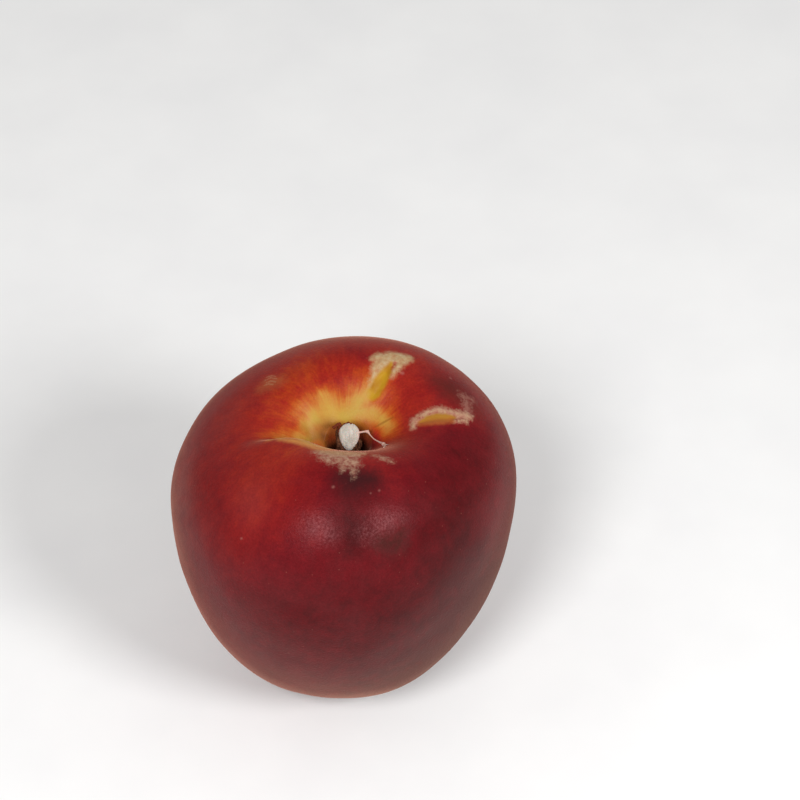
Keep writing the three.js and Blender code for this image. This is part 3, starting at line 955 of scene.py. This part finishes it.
class Skin(Nodes):
    """The nodes of the skin."""

    def __init__(self):
        super().__init__("nectarine_skin")
        self.spot = self.place()
        self.from_stem = self.number("from_stem")
        self.ragged = self.centred(self.grain(1.3, detail=4.0, roughness=0.65))
        self.crumbs = self.centred(self.grain(3.2, detail=3.0, roughness=0.6))

    def grain(self, per_mm, detail=2.0, roughness=0.5, distortion=0.0):
        return self.noise(self.spot, per_mm * PER_METRE, detail, roughness, distortion)

    def centred(self, value):
        return self.math("SUBTRACT", value, 0.5)

    def streaks(self, count, run):
        """Noise that is long away from the stem and narrow around it."""
        x = self.times(self.number("around_x"), count)
        y = self.times(self.number("around_y"), count)
        along = self.times(self.from_stem, run)
        return self.centred(self.noise(self.vector(x, y, along), 1.0, detail=3.0))

    def redness(self):
        """How red the skin is, with fine streaks away from the stem and a soft mottle."""
        blush = self.number("blush")
        coarse, fine = (self.times(self.streaks(count, run), size) for count, run, size in STREAKS)
        by_blush = self.ease(blush, 0.35, 0.92, 0.39, 0.12)
        on_yellow = self.ease(blush, 0.0, 0.22, 0.25, 1.0)
        near_stem = self.ease(self.from_stem, 4.0, 9.0, 0.4, 1.0)
        share = self.times(by_blush, self.times(near_stem, on_yellow))
        streak = self.times(self.plus(coarse, fine), share)
        patches = self.times(self.centred(self.grain(0.09, detail=4.0, roughness=0.6)), PATCHES)
        patches = self.times(patches, self.ease(self.from_stem, 8.0, 20.0))
        mottle = self.times(self.centred(self.grain(0.40, detail=3.0, roughness=0.55)), MOTTLE)
        return self.plus(self.plus(blush, streak), self.plus(patches, mottle))

    def ground(self, red):
        """The colour for each redness. The yellow is greener in places."""
        colour = self.ramp(red, SKIN_COLOURS)
        patches = self.ease(self.grain(0.22, detail=3.0, roughness=0.6), 0.40, 0.65, 0, 0.6)
        green = self.times(patches, self.ease(red, 0.16, 0.0))
        return self.mix(green, colour, GREENISH_COLOUR)

    def with_wall(self, colour):
        """The colour with the cavity's wall, which turns brown towards the stem, with painted shade
        near its floor and painted light part way up on the left.
        """
        height = self.number("wall_height")
        left = self.ramp(height, LEFT_WALL_BROWN_SHADE_AND_LIGHT)
        right = self.ramp(height, RIGHT_WALL_BROWN_AND_SHADE)
        wall = self.mix(self.number("wall_left"), right, left)
        brown_and_shade = self.times(self.number("wall_brown_and_shade"), WALL_BROWN_AND_SHADE_SHARE)
        return self.mix(brown_and_shade, colour, wall)

    def bloom(self):
        """How much wax greys the colour: in thin clouds, and a little more on the front left."""
        clouds = self.grain(0.07, detail=5.0, roughness=0.6, distortion=0.6)
        haze = self.times(self.number("haze"), BLOOM_IN_HAZE)
        return self.math("MULTIPLY_ADD", self.ease(clouds, 0.35, 0.75), BLOOM_IN_CLOUDS, haze)

    def painted_rim_light(self):
        """How much painted rim light shows: a patchy tan on the -X side that lightens the left
        edge.
        """
        patches = self.ease(self.grain(0.25, detail=4.0, roughness=0.65), 0.3, 0.65, 0.06, 0.22)
        return self.times(self.number("left_rim_light"), patches)

    def pores(self):
        """Small pores, one in some of the cells of a scatter."""
        inputs = {"Vector": self.spot, "Scale": PORES_PER_MM * PER_METRE}
        cells = self.add("ShaderNodeTexVoronoi", inputs).node.outputs
        draw = self.add("ShaderNodeSeparateColor", {"Color": cells["Color"]})
        return self.times(self.ease(cells["Distance"], 0.11, 0.02), self.ease(draw, 0.3, 0.9))

    def speckled(self, colour, red):
        """The colour with fine light and dark specks, stronger where the skin is red."""
        specks = self.ease(self.grain(2.3, detail=3.0, roughness=0.7), 0.3, 0.7, -1.0, 1.0)
        light = self.math("MULTIPLY_ADD", specks, self.ease(red, 0.0, 0.45, 0.025, 0.12), 1.0)
        return self.mix(1.0, colour, self.vector(light, light, light), "MULTIPLY")

    def mark_share(self, name, look):
        edge = self.math("MULTIPLY_ADD", self.ragged, look.ragged, self.number(name))
        edge = self.math("MULTIPLY_ADD", self.crumbs, look.crumbly, edge)
        return self.times(self.ease(edge, look.gone, look.full), look.share)

    def mark_shares(self):
        """How much of each mark shows. The scuff is uneven; the painted highlight is fine specks.
        """
        shares = {name: self.mark_share(name, look) for name, look in MARK_LOOKS.items()}
        scuffed = self.ease(self.grain(0.9, detail=3.0, roughness=0.6), 0.3, 0.6, 0.55, 0.95)
        specks = self.ease(self.grain(2.3, detail=2.0, roughness=0.6), 0.36, 0.74, 0.0, 0.115)
        shares["scuff"] = self.times(shares["scuff"], scuffed)
        shares["painted_highlight"] = self.times(shares["painted_highlight"], specks)
        return shares

    def mark_patterns(self):
        """The colours of the marks that have a pattern. Russet is paler by the cavity's lip."""
        russet = self.ramp(self.grain(1.1, detail=3.0, roughness=0.6), RUSSET_COLOURS)
        by_the_lip = self.ease(self.from_stem, 13.8, 12.0, 0, 0.55)
        return {
            "cork": self.ramp(self.grain(0.9, detail=3.0, roughness=0.6), CORK_COLOURS),
            "right_cork": self.ramp(self.grain(0.7, detail=3.0, roughness=0.6), PINK_CORK_COLOURS),
            "russet": self.mix(by_the_lip, russet, LIP_RUSSET_COLOUR),
            "flesh": self.ramp(self.grain(0.35), FLESH_COLOURS),
        }

    def roughness(self, bloom, scuff, dry):
        """Satin skin, rougher where it turns away from the viewer, and dry cork."""
        roughness = self.math("MULTIPLY_ADD", self.centred(self.grain(2.4)), SATIN_GRAIN, SATIN)
        roughness = self.math("MULTIPLY_ADD", bloom, SATIN_ON_BLOOM, roughness)
        roughness = self.math("MULTIPLY_ADD", scuff, SATIN_ON_SCUFF, roughness)
        rim = self.ease(self.facing_away(), 0.45, 0.90, 0, SATIN_TURNED_AWAY)
        return self.blend(dry, self.plus(roughness, rim), DRY_ROUGHNESS)

    def fine_relief(self, pores, dry):
        """Bump for the grain of the skin and, deeper, for the dry cork."""
        fine = self.plus(self.grain(2.6, detail=3.0, roughness=0.6), self.times(pores, 0.5))
        normal = self.bump(fine, *FINE_BUMP)
        cork = self.times(self.grain(3.5, detail=4.0, roughness=0.7), dry)
        return self.bump(cork, *CORK_BUMP, normal)


def skin_material():
    n = Skin()
    red, bloom, pores = n.redness(), n.bloom(), n.pores()
    colour = n.with_wall(n.ground(red))
    colour = n.mix(bloom, colour, BLOOM_COLOUR)
    colour = n.mix(n.painted_rim_light(), colour, RIM_LIGHT_COLOUR)
    colour = n.mix(n.times(pores, PORE_SHARE), colour, PORE_COLOUR)
    colour = n.speckled(colour, red)

    shares, patterns = n.mark_shares(), n.mark_patterns()
    for name, look in MARK_LOOKS.items():
        colour = n.mix(shares[name], colour, patterns.get(name, look.colour))
    dry = n.math("MAXIMUM", shares["cork"], shares["right_cork"])
    dry = n.math("MAXIMUM", dry, shares["russet"])
    return n.finish(
        colour, n.roughness(bloom, shares["scuff"], dry), n.fine_relief(pores, dry),
        IOR=1.45, Specular_IOR_Level=0.14, Specular_Tint=(1.0, 0.66, 0.68, 1.0),
        Sheen_Weight=0.32, Sheen_Roughness=0.32, Sheen_Tint=(1.0, 0.52, 0.36, 1.0),
    )


BARK_COLOURS = [
    (0.30, (0.028, 0.009, 0.004)),
    (0.46, (0.075, 0.025, 0.010)),
    (0.62, (0.145, 0.055, 0.024)),
    (0.80, (0.24, 0.11, 0.055)),
]
BARK_ROUGHNESS = 0.85
BARK_BUMP = (0.00025, 0.9)
FLAKE_COLOUR = (0.13, 0.032, 0.018)
FLAP_TIP = (7.6, 8.4)  # millimetres above the stem's foot, from where to where the red comes in
FLAP_TIP_COLOUR = (0.15, 0.022, 0.006)
PITH_COLOURS = [
    (0.30, (0.34, 0.30, 0.25)),
    (0.50, (0.45, 0.405, 0.345)),
    (0.70, (0.54, 0.50, 0.44)),
]
PITH_ROUGHNESS = 0.6
PITH_BUMP = (0.00012, 0.6)
PITH_PATCH_COLOUR = (0.55, 0.44, 0.38)
STRAND_START = (1.8, 2.6)  # millimetres to the right of the stem
STRAND_COLOUR = (0.56, 0.31, 0.25)


def bark_material():
    n = Nodes("stem_bark")
    place = n.place()
    upright = n.stretch(place, (1, 1, 0.2))
    fibre = n.noise(upright, 2.6 * PER_METRE, detail=4.0, roughness=0.65)
    flakes = n.noise(place, 1.1 * PER_METRE, detail=4.0, roughness=0.6)
    colour = n.ramp(fibre, BARK_COLOURS)
    colour = n.mix(n.ease(flakes, 0.5, 0.75, 0, 0.6), colour, FLAKE_COLOUR)
    height = n.add("ShaderNodeSeparateXYZ", {0: place}, 2)
    low, high = ((PIT_HEIGHT + above) * MM for above in FLAP_TIP)
    colour = n.mix(n.ease(height, low, high, 0, 0.85), colour, FLAP_TIP_COLOUR)
    normal = n.bump(fibre, *BARK_BUMP)
    return n.finish(colour, BARK_ROUGHNESS, normal, Specular_IOR_Level=0.2)


def pith_material():
    """Pale fibre. The free strand is pinker than the pad."""
    n = Nodes("stem_pith")
    place = n.place()
    fibre = n.noise(n.stretch(place, (1, 0.3, 0.3)), 2.2 * PER_METRE, detail=3.0, roughness=0.55)
    patches = n.noise(place, 0.7 * PER_METRE, detail=3.0)
    colour = n.ramp(fibre, PITH_COLOURS)
    colour = n.mix(n.ease(patches, 0.45, 0.7, 0, 0.35), colour, PITH_PATCH_COLOUR)
    along = n.add("ShaderNodeSeparateXYZ", {0: place})
    near, far = ((STEM_X + right) * MM for right in STRAND_START)
    colour = n.mix(n.ease(along, near, far, 0, 0.75), colour, STRAND_COLOUR)
    normal = n.bump(fibre, *PITH_BUMP)
    return n.finish(
        colour, PITH_ROUGHNESS, normal, Subsurface_Weight=0.15, Subsurface_Scale=0.0008
    )


def dress(piece, node, material):
    piece.data.materials.clear()
    piece.data.materials.append(material)
    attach(piece, "root")
    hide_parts(node)


# ---- The stage ----
CAMERA_ELEVATION = 44.0
CAMERA_DISTANCE = 750.0
PICTURE_SIZE = 800
MM_PER_PIXEL = 0.1977  # at the fruit's waist
WAIST_RIGHT = -11.44  # where the waist's middle lies from the middle of the picture
WAIST_UP = -19.62
LAMP_AZIMUTHS = (-14, 35)  # from the camera's side
LAMP_ABOVE = 3
LAMP_DISTANCE = 900.0
LAMP_SIZE = 0.30
LAMP_POWER = 4.5
WORLD_STRENGTH = 0.38
WORLD_COLOUR = (1, 0.99, 0.98, 1)
FLOOR_HALF_WIDTH = 2000.0
FLOOR_COLOURS = [(0.3, (0.90, 0.90, 0.90)), (0.7, (0.94, 0.94, 0.935))]
FLOOR_ROUGHNESS = 0.9
FLOOR_BUMP = (0.0002, 0.1)
FLOOR_GRAIN = 40.0  # per metre


def camera_axes():
    tilt = math.radians(CAMERA_ELEVATION)
    right = Vector((1, 0, 0))
    up = Vector((0, math.sin(tilt), math.cos(tilt)))
    forward = Vector((0, math.cos(tilt), -math.sin(tilt)))
    return right, up, forward


def add_camera():
    right, up, forward = camera_axes()
    waist = Vector((0, 0, WAIST_HEIGHT))
    place = waist - right * WAIST_RIGHT - up * WAIST_UP - forward * CAMERA_DISTANCE
    data = bpy.data.cameras.new("camera")
    data.sensor_width = 36
    data.lens = data.sensor_width * CAMERA_DISTANCE / (MM_PER_PIXEL * PICTURE_SIZE)
    data.clip_start = 0.01
    camera = bpy.data.objects.new("camera", data)
    camera.location = place * MM
    camera.rotation_euler = (math.radians(90 - CAMERA_ELEVATION), 0, 0)
    bpy.context.scene.collection.objects.link(camera)
    bpy.context.scene.camera = camera


def add_lamps():
    right, up, forward = camera_axes()
    middle = Vector((0, 0, WAIST_HEIGHT))
    rise = math.radians(LAMP_ABOVE)
    for azimuth in LAMP_AZIMUTHS:
        turn = math.radians(azimuth)
        level = right * math.sin(turn) - forward * math.cos(turn)
        way = level * math.cos(rise) + up * math.sin(rise)
        data = bpy.data.lights.new("lamp", "AREA")
        data.shape = "DISK"
        data.size = LAMP_SIZE
        data.energy = LAMP_POWER
        lamp = bpy.data.objects.new("lamp", data)
        lamp.location = (middle + way * LAMP_DISTANCE) * MM
        lamp.rotation_euler = way.to_track_quat("Z", "Y").to_euler()
        bpy.context.scene.collection.objects.link(lamp)


def add_surroundings():
    world = bpy.data.worlds.new("pale_room")
    world.use_nodes = True
    background = world.node_tree.nodes["Background"]
    background.inputs["Color"].default_value = WORLD_COLOUR
    background.inputs["Strength"].default_value = WORLD_STRENGTH
    bpy.context.scene.world = world
    bpy.context.scene.view_settings.view_transform = "Standard"

    reach = FLOOR_HALF_WIDTH
    corners = [(-reach, -reach, 0), (reach, -reach, 0), (reach, reach, 0), (-reach, reach, 0)]
    floor = mesh_object("floor", corners, [(0, 1, 2, 3)], smooth=False)
    n = Nodes("pale_floor")
    paper = n.noise(n.place(), FLOOR_GRAIN, detail=3.0)
    colour = n.ramp(paper, FLOOR_COLOURS)
    normal = n.bump(paper, *FLOOR_BUMP)
    floor.data.materials.append(n.finish(colour, FLOOR_ROUGHNESS, normal))


add_camera()
add_lamps()
add_surroundings()
dress(make_fruit(), "fruit", skin_material())
dress(make_stub(), "stem_stub", bark_material())
dress(make_torn_end(), "stem_torn_end", pith_material())
